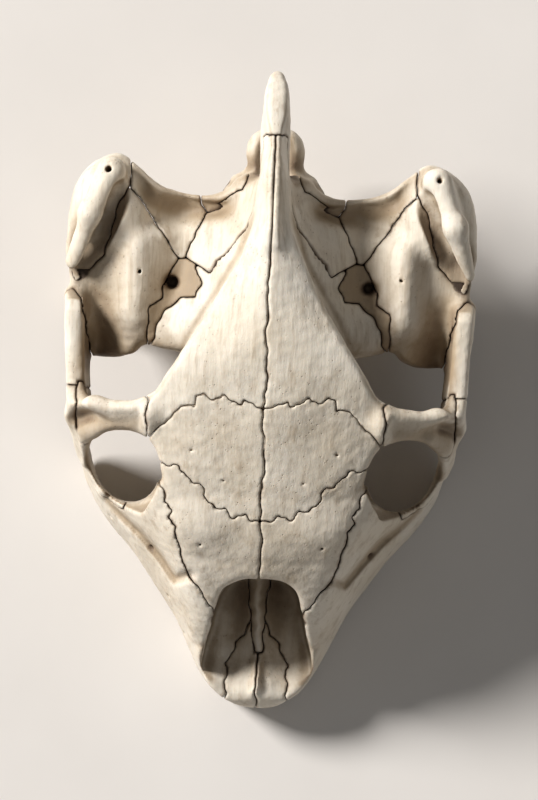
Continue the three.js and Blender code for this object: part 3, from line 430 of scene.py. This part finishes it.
# Bones, each with its outline from above and from the side. A bone takes what lies in both and
# is in no bone before it in the list, and the last two take what is left.
ANY = [(-90, -10), (90, -10), (90, 80), (-90, 80)]
BONES = [
    {
        "name": "vomer",
        "above": [(0, -62), (0.8, -61.4), (1.6, -54), (2.4, -44), (3.2, -30), (3.6, -17), (0, -17)],
        "beside": [(-63, -2), (-16, -2), (-16, 24), (-63, 24)],
    },
    {
        "name": "basioccipital",
        "above": [(0, 33), (7.5, 33), (11, 38), (12.5, 46), (9, 52), (8.5, 66), (0, 66)],
        "beside": [(32, 5), (70, 5), (70, 31), (50, 29.8), (44, 25.5), (32, 24.5)],
    },
    {
        "name": "basisphenoid",
        "above": [(0, 8), (5, 9), (8.5, 16), (10, 26), (9, 34), (0, 34)],
        "beside": [(7, 5), (35, 5), (35, 25.5), (7, 25.5)],
    },
    {
        "name": "supraoccipital",
        "above": [
            (0, 24), (14, 27), (16.4, 28.8), (20.2, 30.6), (17.5, 37), (14.6, 43), (7, 47), (5.5, 52),
            (5, 80), (0, 80),
        ],
        "beside": [
            (24, 34), (40, 34), (47, 37), (80, 36), (80, 62), (60.6, 62), (59.6, 46.4), (44, 48.6),
            (38, 46), (30, 42), (24, 40),
        ],
    },
    {
        "name": "premaxilla",
        "pair": True,
        "above": [
            (0, -80), (8.6, -80), (7.2, -71.5), (7.0, -64), (5.4, -60.4), (3.2, -57.4), (1.2, -53), (0, -53),
        ],
        "beside": [(-80, -4), (-52, -4), (-52, 21), (-80, 21)],
    },
    {
        "name": "palatine",
        "pair": True,
        "above": [
            (0, -34), (4.5, -35.5), (8, -37), (14.5, -35), (19.5, -27), (21, -18), (20.5, -10), (14, -8),
            (4, -9), (0, -9),
        ],
        "beside": [(-38, 8), (-7, 8), (-7, 26), (-38, 26)],
    },
    {
        "name": "pterygoid",
        "pair": True,
        "above": [(0, -14), (30, -14), (30, 2), (24, 8), (34, 13), (34, 34), (20, 36), (13, 44), (0, 46)],
        "beside": [(-14, 5), (46, 5), (46, 24.5), (14, 24.5), (10, 26), (-4, 26), (-14, 24)],
    },
    {
        "name": "prefrontal",
        "pair": True,
        "above": [
            (0, -54), (10.6, -54), (10.8, -50.8), (17, -43), (20.4, -32), (22.7, -24), (26.5, -20),
            (26.5, -16.4), (20.6, -18.2), (16, -20.5), (13, -25), (11, -27.4), (8, -28.8), (0, -30.2),
        ],
        "beside": [(-56, 24), (-8, 24), (-8, 70), (-56, 70)],
    },
    {
        "name": "frontal",
        "pair": True,
        "above": [
            (0, -32), (18, -32), (20.5, -20.5), (28, -19.5), (27.5, -12.5), (25.2, -9.6), (20, -5),
            (15, -1.7), (10, -1.9), (0, -4),
        ],
        "beside": [(-34, 26), (2, 26), (2, 70), (-34, 70)],
    },
    {
        "name": "postorbital",
        "pair": True,
        "above": [
            (26.5, -20), (36, -20), (40.6, -15.4), (44.2, -12.6), (44.2, 1), (30, 1), (27.4, -2.6),
            (28.0, -7), (27.2, -11),
        ],
        "beside": [(-22, 36.5), (-8, 36.5), (-3, 39.5), (2, 40), (2, 64), (-22, 64)],
    },
    {
        "name": "jugal",
        "pair": True,
        "above": [(33.2, -31), (52, -31), (52, 4), (28, 4), (28, -14), (31.4, -24.4)],
        "beside": [
            (-27.6, 38), (-29.2, 31), (-27, 25), (-20, 22.6), (-12, 20.5), (-9, 14), (1, 14), (-0.6, 24),
            (-0.4, 34), (0.4, 50), (-20, 50),
        ],
    },
    {
        "name": "quadratojugal",
        "pair": True,
        "above": [
            (39.6, -4), (41.2, 6), (41.8, 9), (43.2, 16), (44.3, 20.5), (46, 22.5), (54, 22.5), (54, -4),
        ],
        "beside": [(-4, 14), (12, 14), (13.4, 22), (13, 30), (16, 36), (24, 37.4), (24, 50), (-4, 50)],
    },
    {
        "name": "squamosal",
        "pair": True,
        "above": [
            (33.5, 60), (33.5, 47.3), (36.2, 42.6), (37.5, 36.8), (39.3, 30.5), (43.0, 26), (44.5, 22),
            (54, 22), (54, 60),
        ],
        "beside": [(10, 37), (22, 38.5), (33, 35.5), (40, 31), (46, 28.5), (60, 26), (60, 60), (10, 60)],
    },
    {
        "name": "parietal",
        "pair": True,
        "above": [
            (0, -14), (30, -14), (30, -2), (29, 8), (26.5, 12), (26, 15), (24.3, 18), (21, 21.1),
            (17.5, 21.6), (15.9, 25), (17.5, 28.6), (10, 40), (5, 47), (5, 62), (0, 62),
        ],
        "beside": [(-16, 26), (18, 26), (22, 33), (30, 36), (62, 43), (62, 70), (-16, 70)],
    },
    {
        "name": "prootic",
        "pair": True,
        "above": [
            (0, 8), (28.3, 8), (28.3, 14.5), (28, 19.2), (25, 20.9), (25, 23.9), (23.3, 27.4),
            (21.8, 30.5), (19, 30.5), (14, 29), (4, 32), (0, 32),
        ],
        "beside": [(4, 22), (36, 22), (36, 60), (4, 60)],
    },
    {
        "name": "exoccipital",
        "pair": True,
        "above": [(0, 39), (14, 40), (17, 44), (17, 64), (0, 64)],
        "beside": [(36, 13), (66, 13), (66, 44), (36, 44)],
    },
    {
        "name": "opisthotic",
        "pair": True,
        "above": [(0, 28), (21.5, 30.5), (25.4, 35.6), (30, 42.7), (33.7, 47), (33.5, 60), (0, 60)],
        "beside": [(26, 20), (62, 20), (62, 60), (26, 60)],
    },
    {
        "name": "maxilla",
        "pair": True,
        "above": [(0, -80), (60, -80), (60, -8), (0, -8)],
        "beside": ANY,
    },
    {
        "name": "quadrate",
        "pair": True,
        "above": [(0, -8), (60, -8), (60, 80), (0, 80)],
        "beside": ANY,
    },
]


class Grid:
    """Distances at the corners of small cubes over half the skull, from the midline outwards."""

    def __init__(self):
        self.low = np.array([0, -TIP - 3, -2.3])
        high = np.array([HALF_WIDTH + 2.5, TIP + 4, HEIGHT + 4])
        counts = np.ceil((high - self.low) / CELL).astype(int) + 1
        self.x, self.y, self.z = (
            (self.low[i] + CELL * np.arange(counts[i])).reshape([-1 if k == i else 1 for k in range(3)])
            for i in range(3)
        )
        self.field = skull(self.x, self.y, self.z).astype(np.float32)


def sample(field, low, points):
    """A field between its corners, at points in millimetres; beyond its box it grows with distance."""
    free = (points - low) / CELL
    at = np.clip(free, 0, np.array(field.shape) - 1.001)
    beyond = np.linalg.norm(free - at, axis=1) * CELL
    i = at.astype(int)
    f = at - i
    value = 0
    for corner in np.ndindex(2, 2, 2):
        weight = np.prod([f[:, a] if corner[a] else 1 - f[:, a] for a in range(3)], axis=0)
        value = value + weight * field[i[:, 0] + corner[0], i[:, 1] + corner[1], i[:, 2] + corner[2]]
    return value + beyond


def surface_net(field, low):
    """Points and four-sided faces of the surface where the field is 0."""
    inside = field < 0
    cells = np.array(field.shape)
    strides = np.array([cells[1] * cells[2], cells[2], 1])
    sums, faces = [], []
    for axis in range(3):
        one = [slice(None)] * 3
        two = [slice(None)] * 3
        one[axis], two[axis] = slice(None, -1), slice(1, None)
        start = np.argwhere(inside[tuple(one)] != inside[tuple(two)])
        end = start.copy()
        end[:, axis] += 1
        a, b = field[tuple(start.T)], field[tuple(end.T)]
        crossing = start.astype(float)
        crossing[:, axis] += a / (a - b)
        u, v = (axis + 1) % 3, (axis + 2) % 3
        around = []
        for du, dv in ((0, 0), (1, 0), (1, 1), (0, 1)):
            cell = start.copy()
            cell[:, u] -= du
            cell[:, v] -= dv
            around.append(cell @ strides)
            sums.append((around[-1], crossing))
        quads = np.stack(around, axis=1)
        quads[a > b] = quads[a > b][:, ::-1]
        faces.append(quads)
    ids = np.concatenate([s[0] for s in sums])
    crossings = np.concatenate([s[1] for s in sums])
    used, which = np.unique(ids, return_inverse=True)
    count = np.bincount(which)
    points = np.stack([np.bincount(which, crossings[:, k]) / count for k in range(3)], axis=1)
    lookup = np.searchsorted(used, np.concatenate(faces))
    return points * CELL + low, lookup


# Unevenness of the surface and of the midline: its height, its wavelength and its seed
WAVE_COUNT = 14
SWELLS = ((0.20, 17, 1), (0.06, 6.5, 2), (0.035, 2.6, 3))
WANDERS = ((0.45, 9, 4), (0.2, 3.4, 5))

# How far out a hollow is looked for, and the share of each reach
HOLLOW_REACHES = ((1.2, 0.2), (3, 0.2), (6.5, 0.22), (12, 0.2), (20, 0.18))

# How far the dirt of a suture spreads from it
SEAM_REACH = 0.34


def waves(points, length, seed):
    """Smooth natural unevenness between about -1 and 1, of a given wavelength."""
    random = np.random.default_rng(seed)
    total = 0
    for _ in range(WAVE_COUNT):
        direction = random.normal(size=3)
        direction *= random.uniform(0.7, 1.4) / np.linalg.norm(direction)
        phase = random.uniform(0, 2 * np.pi)
        total = total + np.sin(points @ (direction * 2 * np.pi / length) + phase)
    return total / WAVE_COUNT**0.5 / 1.2


def limits(bone, grid, across):
    """Distance to the space a bone may take, its sutures waved a little."""
    x, y, z = grid.x, grid.y, grid.z
    lively = 0.14 + 0.5 * ramp((y + 34) / 5) * ramp((8 - y) / 6) * ramp((25 - x) / 5)
    lively = lively + 0.16 * ramp((-46 - y) / 6)
    wave_x = lively * (np.sin(1.3 * y + 0.8 * np.sin(0.9 * x)) + 0.4 * np.sin(3.1 * y + 1.3 * x))
    wave_y = lively * (np.sin(1.2 * x + 0.7 * np.sin(1.1 * y)) + 0.4 * np.sin(2.9 * x - 1.1 * y))
    calm = ramp((x - 0.5) / 3)
    if across:
        half = [corner for corner in bone["above"] if corner[0] > 0]
        outline = half + [(-px, py) for px, py in half[::-1]]
    else:
        outline = [(SUTURE_GAP / 2 if px == 0 else px, py) for px, py in bone["above"]]
    above = outline_distance(x + wave_x * calm, y + wave_y * calm, np.array(outline))
    wave_y = 0.2 * np.sin(1.4 * z + 0.6 * np.sin(0.8 * y))
    wave_z = 0.2 * np.sin(1.3 * y + 0.7 * np.sin(1.2 * z))
    beside = outline_distance(y + wave_y, z + wave_z, np.array(bone["beside"]))
    return np.maximum(above, beside).astype(np.float32)


def bone_meshes(grid):
    """For each bone: its name, points, faces and how far each point is from a suture."""
    taken = np.full(grid.field.shape, 99, np.float32)
    for bone in BONES:
        pair = bone.get("pair", False)
        own = limits(bone, grid, not pair)
        space = np.maximum(own, -taken)
        if pair:
            space = np.maximum(space, (SUTURE_GAP / 2 - grid.x).astype(np.float32))
        taken = np.minimum(taken, own - SUTURE_GAP)
        field = blend_max(grid.field, space, 0.25)
        filled = np.argwhere(field < 0)
        first = np.maximum(filled.min(axis=0) - 2, 0)
        last = filled.max(axis=0) + 3
        part = tuple(slice(a, b) for a, b in zip(first, last))
        field, space = field[part], space[part]
        low = grid.low + first * CELL
        if not pair:
            field = np.concatenate([field[:0:-1], field])
            space = np.concatenate([space[:0:-1], space])
            low[0] = -CELL * (len(field) // 2)
        points, faces = surface_net(field, low)
        points, faces = largest(points, faces)
        depth = -sample(space, low, points)
        yield bone["name"], pair, points, faces, depth


def largest(points, faces):
    """Only the largest connected piece of a surface."""
    label = np.arange(len(points))
    edges = np.concatenate([faces[:, [0, 1]], faces[:, [1, 2]], faces[:, [2, 3]]])
    while True:
        lower = np.minimum(label[edges[:, 0]], label[edges[:, 1]])
        new = label.copy()
        np.minimum.at(new, edges[:, 0], lower)
        np.minimum.at(new, edges[:, 1], lower)
        new = new[new]
        if np.array_equal(new, label):
            break
        label = new
    keep = label == np.bincount(label).argmax()
    faces = faces[keep[faces[:, 0]]]
    return points[keep], (np.cumsum(keep) - 1)[faces]


def outward(grid, points):
    """Direction away from the whole skull at each point."""
    step = 0.8
    slope = []
    for axis in range(3):
        shift = np.zeros(3)
        shift[axis] = step
        ends = []
        for end in (points + shift, points - shift):
            ends.append(sample(grid.field, grid.low, fold(end)))
        slope.append(ends[0] - ends[1])
    slope = np.stack(slope, axis=1)
    return slope / (np.linalg.norm(slope, axis=1, keepdims=True) + 1e-6)


def fold(points):
    """The same points on the side of the skull that the grid covers."""
    return np.column_stack([np.abs(points[:, 0]), points[:, 1:]])


def recess(grid, points, normal):
    """How far a point lies in a hollow: 0 in the open, near 1 deep in a hollow; the bone is painted darker
    by it, as painted shade.
    """
    hollow_shade = 0
    for reach, share in HOLLOW_REACHES:
        open_space = sample(grid.field, grid.low, fold(points + normal * reach))
        hollow_shade = hollow_shade + share * np.clip(1 - open_space / reach, 0, 1)
    return hollow_shade


def natural(grid, points):
    """The points with a real bone's unevenness, so that its two sides aren't quite alike."""
    normal = outward(grid, points)
    swell = sum(height * waves(points, length, seed) for height, length, seed in SWELLS)
    lengthwise = points * [0, 1, 0.5]
    wander = sum(height * waves(lengthwise, length, seed) for height, length, seed in WANDERS)
    middle = hill(points[:, 0], 0, 2.5) * wander * (0.25 + 0.75 * ramp((34 - points[:, 1]) / 10))
    moved = points + normal * (swell * ramp(points[:, 2] / 1.5))[:, None]
    moved[:, 0] += middle
    moved[:, 2] = np.maximum(moved[:, 2], 0)
    return moved, normal


def make_piece(name, node, points, faces, marks, material):
    mesh = bpy.data.meshes.new(name)
    mesh.vertices.add(len(points))
    mesh.vertices.foreach_set("co", (points * MM).astype(np.float32).ravel())
    mesh.loops.add(faces.size)
    mesh.loops.foreach_set("vertex_index", faces.astype(np.int32).ravel())
    mesh.polygons.add(len(faces))
    mesh.polygons.foreach_set("loop_start", np.arange(0, faces.size, 4, dtype=np.int32))
    mesh.polygons.foreach_set("use_smooth", np.ones(len(faces), bool))
    mesh.update(calc_edges=True)
    mesh.validate()
    for key, values in marks.items():
        layer = mesh.attributes.new(key, "FLOAT", "POINT")
        layer.data.foreach_set("value", values.astype(np.float32))
    mesh.materials.append(material)
    piece = bpy.data.objects.new(name, mesh)
    bpy.context.collection.objects.link(piece)
    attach(piece, "root")
    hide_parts(node)


# Shader building
def node(tree, kind, inputs=None, **settings):
    made = tree.nodes.new(kind)
    for key, value in settings.items():
        setattr(made, key, value)
    for key, value in (inputs or {}).items():
        if isinstance(value, bpy.types.NodeSocket):
            tree.links.new(value, made.inputs[key])
        else:
            made.inputs[key].default_value = value
    return made


def noise(tree, coords, scale, detail=4.0, rough=0.55, stretch=None, seed=0.0):
    if stretch:
        mapping = node(tree, "ShaderNodeMapping", {"Vector": coords, "Scale": stretch})
        coords = mapping.outputs["Vector"]
    made = node(tree, "ShaderNodeTexNoise",
                {"Vector": coords, "W": seed, "Scale": scale, "Detail": detail, "Roughness": rough},
                noise_dimensions="4D")
    return made.outputs["Fac"]


def math_node(tree, operation, a, b=0.0, clamp=False):
    made = node(tree, "ShaderNodeMath", {0: a, 1: b}, operation=operation, use_clamp=clamp)
    return made.outputs[0]


def product(tree, a, b, clamp=False):
    return math_node(tree, "MULTIPLY", a, b, clamp)


def spread(tree, value, low, high):
    made = node(tree, "ShaderNodeMapRange", {"Value": value, "From Min": low, "From Max": high})
    return made.outputs["Result"]


def mixed(tree, factor, a, b):
    made = node(tree, "ShaderNodeMix", {0: factor}, data_type="RGBA", blend_type="MIX")
    for socket, value in ((made.inputs[6], a), (made.inputs[7], b)):
        if isinstance(value, bpy.types.NodeSocket):
            tree.links.new(value, socket)
        else:
            socket.default_value = (*value, 1)
    return made.outputs[2]


# Colours of the bone, from clean to dark, the darker ones for dirt, pores and painted shade, and how its
# surface takes the light
IVORY = (0.69, 0.615, 0.50)
CREAM = (0.79, 0.735, 0.645)
TAN = (0.385, 0.295, 0.195)
UMBER = (0.155, 0.105, 0.068)
DUSK = (0.045, 0.028, 0.018)
BUMP_HEIGHT = 0.00028
SCATTER = (0.0016, 0.0010, 0.0006)


def bone_material():
    material = bpy.data.materials.new("dry_bone")
    material.use_nodes = True
    tree = material.node_tree
    tree.nodes.clear()
    coords = node(tree, "ShaderNodeTexCoord").outputs["Object"]
    hollow_shade = node(tree, "ShaderNodeAttribute", attribute_name="recess").outputs["Fac"]
    seam = node(tree, "ShaderNodeAttribute", attribute_name="seam").outputs["Fac"]
    tone_and_shade = node(tree, "ShaderNodeAttribute", attribute_name="tone_and_shade").outputs["Fac"]
    clouds = noise(tree, coords, 55, 5, 0.6, seed=1.0)
    blotch = noise(tree, coords, 150, 5, 0.65, seed=2.0)
    grain = noise(tree, coords, 900, 4, 0.6, stretch=(1.0, 0.16, 1.0), seed=3.0)
    fibre = noise(tree, coords, 420, 3, 0.6, stretch=(1.0, 0.09, 1.0), seed=4.0)
    pores = node(tree, "ShaderNodeTexVoronoi", {"Vector": coords, "Scale": 900.0}).outputs["Distance"]
    cells = node(tree, "ShaderNodeTexVoronoi", {"Vector": coords, "Scale": 330.0}).outputs["Distance"]
    base = mixed(tree, spread(tree, clouds, 0.35, 0.68), IVORY, CREAM)
    base = mixed(tree, product(tree, spread(tree, blotch, 0.52, 0.72), 0.34), base, TAN)
    # Each bone's browner colour, with the painted shade of creases, gutters and the temple's floor added;
    # the darkest goes to umber
    base = mixed(tree, product(tree, tone_and_shade, 1.0, clamp=True), base, TAN)
    deep = product(tree, math_node(tree, "SUBTRACT", tone_and_shade, 0.6), 0.7, clamp=True)
    base = mixed(tree, deep, base, UMBER)
    for streaks, low, high in ((grain, 0.54, 0.76), (fibre, 0.53, 0.70)):
        base = mixed(tree, product(tree, spread(tree, streaks, low, high), 0.5), base, TAN)
    # Painted shade: the bone turns tan, then umber, the deeper it lies in a hollow, with some random
    # blotches mixed in
    cloudy = product(tree, spread(tree, blotch, 0.35, 0.65), 0.14)
    blotch_and_hollow_shade = math_node(tree, "ADD", hollow_shade, cloudy)
    base = mixed(tree, product(tree, spread(tree, blotch_and_hollow_shade, 0.20, 0.48), 0.8), base, TAN)
    base = mixed(tree, product(tree, spread(tree, blotch_and_hollow_shade, 0.38, 0.80), 0.95), base, UMBER)
    line = product(tree, seam, spread(tree, blotch, 0.25, 0.6))
    dirt = product(tree, spread(tree, line, 0.18, 0.75), 0.85, clamp=True)
    base = mixed(tree, dirt, base, UMBER)
    base = mixed(tree, spread(tree, seam, 0.82, 1.0), base, DUSK)
    pit = product(tree, spread(tree, pores, 0.22, 0.02), spread(tree, blotch, 0.45, 0.62))
    base = mixed(tree, product(tree, pit, 0.55), base, UMBER)
    height = product(tree, grain, 0.7)
    for layer, share in ((fibre, 1.2), (blotch, 1.6), (cells, 0.35)):
        height = math_node(tree, "ADD", height, product(tree, layer, share))
    height = math_node(tree, "SUBTRACT", height, pit)
    bump = node(tree, "ShaderNodeBump", {
        "Strength": 0.55, "Distance": BUMP_HEIGHT, "Height": height,
    })
    roughness = node(tree, "ShaderNodeMapRange", {"Value": clouds, "To Min": 0.48, "To Max": 0.68})
    shader = node(tree, "ShaderNodeBsdfPrincipled", {
        "Base Color": base, "Roughness": roughness.outputs["Result"], "Normal": bump.outputs["Normal"],
    })
    shader.inputs["Specular IOR Level"].default_value = 0.32
    shader.inputs["Subsurface Weight"].default_value = 0.06
    shader.inputs["Subsurface Radius"].default_value = SCATTER
    shader.inputs["Subsurface Scale"].default_value = 1.0
    output = node(tree, "ShaderNodeOutputMaterial")
    tree.links.new(shader.outputs["BSDF"], output.inputs["Surface"])
    return material


# How much browner some bones are than the rest
TONES = {
    "prootic": 0.95, "opisthotic": 0.25, "exoccipital": 0.3, "quadrate": 0.12, "postorbital": 0.1,
    "prefrontal": 0.18, "frontal": 0.1, "maxilla": 0.08, "premaxilla": 0.05, "pterygoid": 0.15,
    "basisphenoid": 0.2, "basioccipital": 0.2, "supraoccipital": 0.06, "squamosal": 0.05,
}


def painted_shade(points):
    """Painted shade, where shadow falls: darker colour in the furrow of the face, the gutter, the line under
    the roof's edge, the funnel behind the eye, and the front and outer part of the temple's floor."""
    x, y, z = np.abs(points[:, 0]), points[:, 1], points[:, 2]
    furrow = 0.75 * hill(line_distance(x, y, FURROW), 0, 0.9) * ramp((z - 20) / 4) * ramp((x - 15.5) / 4)
    gutter = 0.85 * hill(outline_distance(x, y, EAR_REGION), -3.6, 2.8)
    gutter = gutter * gutter_run(x, y) * ramp((z - 31) / 3)
    line = 0.5 * hill(outline_distance(x, y, ROOF), 0.8, 0.5) * ramp((y - 3) / 6) * ramp((45 - y) / 8)
    funnel = 0.6 * ramp((-5 - y) / 3.5) * ramp((y + 16) / 3) * ramp((x - 28) / 3) * ramp((45 - x) / 2)
    slope = 0.55 * ramp((17 - y) / 9) * ramp((y - 2) / 3) * ramp((x - 22) / 6)
    hollow = 0.55 * hill(x, 41, 4.5) * ramp((34 - y) / 16) * ramp((y - 2) / 3)
    inside = (slope + hollow) * ramp((z - 26) / 4) * ramp((46 - x) / 3)
    return furrow + gutter + inside + (line + funnel) * ramp((z - 36) / 4)


def build_bones():
    grid = Grid()
    material = bone_material()
    for name, pair, points, faces, depth in bone_meshes(grid):
        for side in (1, -1) if pair else (1,):
            placed = points * [side, 1, 1]
            turned = faces if side == 1 else faces[:, ::-1]
            moved, normal = natural(grid, placed)
            # Each bone's own browner colour plus painted shade in creases, gutters and the temple's floor
            tone_and_shade = np.clip(TONES.get(name, 0.0) + painted_shade(placed), 0, 1.6)
            seam = np.exp(-depth / SEAM_REACH)
            marks = {"recess": recess(grid, placed, normal), "seam": seam, "tone_and_shade": tone_and_shade}
            cad = f"{'left' if side == 1 else 'right'}_{name}" if pair else name
            make_piece(f"{cad}_bone", cad, moved, turned, marks, material)


# The photograph's frame, in its pixels: the skull's midline runs through these two points
PICTURE = (538, 800)
MIDLINE_BACK = (278, 73)
MIDLINE_FRONT = (255, 711)
SKULL_PIXELS = 640
MIDDLE_PIXEL = 392
CAMERA_HEIGHT = 2.6
FOCUS_HEIGHT = 0.030
SENSOR_HEIGHT = 36
CLIP_START = 0.1
CLIP_END = 20


def add_camera():
    """Straight above the skull, with a long lens, turned as the picture is."""
    scale = LENGTH * MM / SKULL_PIXELS
    run = MIDLINE_BACK[0] - MIDLINE_FRONT[0]
    rise = MIDLINE_FRONT[1] - MIDLINE_BACK[1]
    turn = math.atan2(run, rise)
    middle_x = MIDLINE_FRONT[0] + (MIDLINE_FRONT[1] - MIDDLE_PIXEL) * run / rise
    right = (PICTURE[0] / 2 - middle_x) * scale
    up = (MIDDLE_PIXEL - PICTURE[1] / 2) * scale
    camera = bpy.data.cameras.new("camera")
    camera.sensor_fit = "VERTICAL"
    camera.sensor_height = SENSOR_HEIGHT
    camera.lens = camera.sensor_height * (CAMERA_HEIGHT - FOCUS_HEIGHT) / (PICTURE[1] * scale)
    camera.clip_start = CLIP_START
    camera.clip_end = CLIP_END
    view = bpy.data.objects.new("camera", camera)
    view.location = (
        right * math.cos(turn) - up * math.sin(turn),
        right * math.sin(turn) + up * math.cos(turn),
        CAMERA_HEIGHT,
    )
    view.rotation_euler = (0, 0, turn)
    bpy.context.collection.objects.link(view)
    bpy.context.scene.camera = view


# The floor, the light all round, and the lamps with their place, width, power and colour
FLOOR_REACH = 4.0
FLOOR_DARK = (0.715, 0.685, 0.655)
FLOOR_PALE = (0.745, 0.715, 0.685)
SKY_COLOUR = (1.0, 0.985, 0.96, 1)
SKY_STRENGTH = 0.145
LAMPS = {
    "key": ((-3.1, 1.75, 2.4), 1.25, 300, (1.0, 0.975, 0.945)),
    "fill": ((1.8, -1.0, 2.4), 2.0, 5.0, (0.96, 0.98, 1.0)),
}


def add_light(name, place, size, power, colour):
    light = bpy.data.lights.new(name, "AREA")
    light.shape = "DISK"
    light.size = size
    light.energy = power
    light.color = colour
    lamp = bpy.data.objects.new(name, light)
    lamp.location = place
    direction = -np.array(place)
    flat = math.hypot(direction[0], direction[1])
    tilt = math.atan2(flat, -direction[2])
    heading = math.atan2(direction[1], direction[0]) - math.pi / 2
    lamp.rotation_euler = (tilt, 0, heading)
    bpy.context.collection.objects.link(lamp)


def add_stage():
    mesh = bpy.data.meshes.new("floor")
    corners = [(x * FLOOR_REACH, y * FLOOR_REACH, 0) for x, y in ((-1, -1), (1, -1), (1, 1), (-1, 1))]
    mesh.from_pydata(corners, [], [(0, 1, 2, 3)])
    floor = bpy.data.objects.new("floor", mesh)
    bpy.context.collection.objects.link(floor)
    material = bpy.data.materials.new("pale_floor")
    material.use_nodes = True
    tree = material.node_tree
    shader = tree.nodes["Principled BSDF"]
    coords = node(tree, "ShaderNodeTexCoord").outputs["Object"]
    mottle = noise(tree, coords, 30, 3, 0.5)
    colour = mixed(tree, spread(tree, mottle, 0.3, 0.7), FLOOR_DARK, FLOOR_PALE)
    tree.links.new(colour, shader.inputs["Base Color"])
    shader.inputs["Roughness"].default_value = 0.9
    shader.inputs["Specular IOR Level"].default_value = 0.15
    mesh.materials.append(material)
    world = bpy.data.worlds.new("soft_studio")
    world.use_nodes = True
    background = world.node_tree.nodes["Background"]
    background.inputs["Color"].default_value = SKY_COLOUR
    background.inputs["Strength"].default_value = SKY_STRENGTH
    bpy.context.scene.world = world
    bpy.context.scene.view_settings.view_transform = "Standard"
    for name, (place, size, power, colour) in LAMPS.items():
        add_light(name, place, size, power, colour)


build_bones()
add_stage()
add_camera()
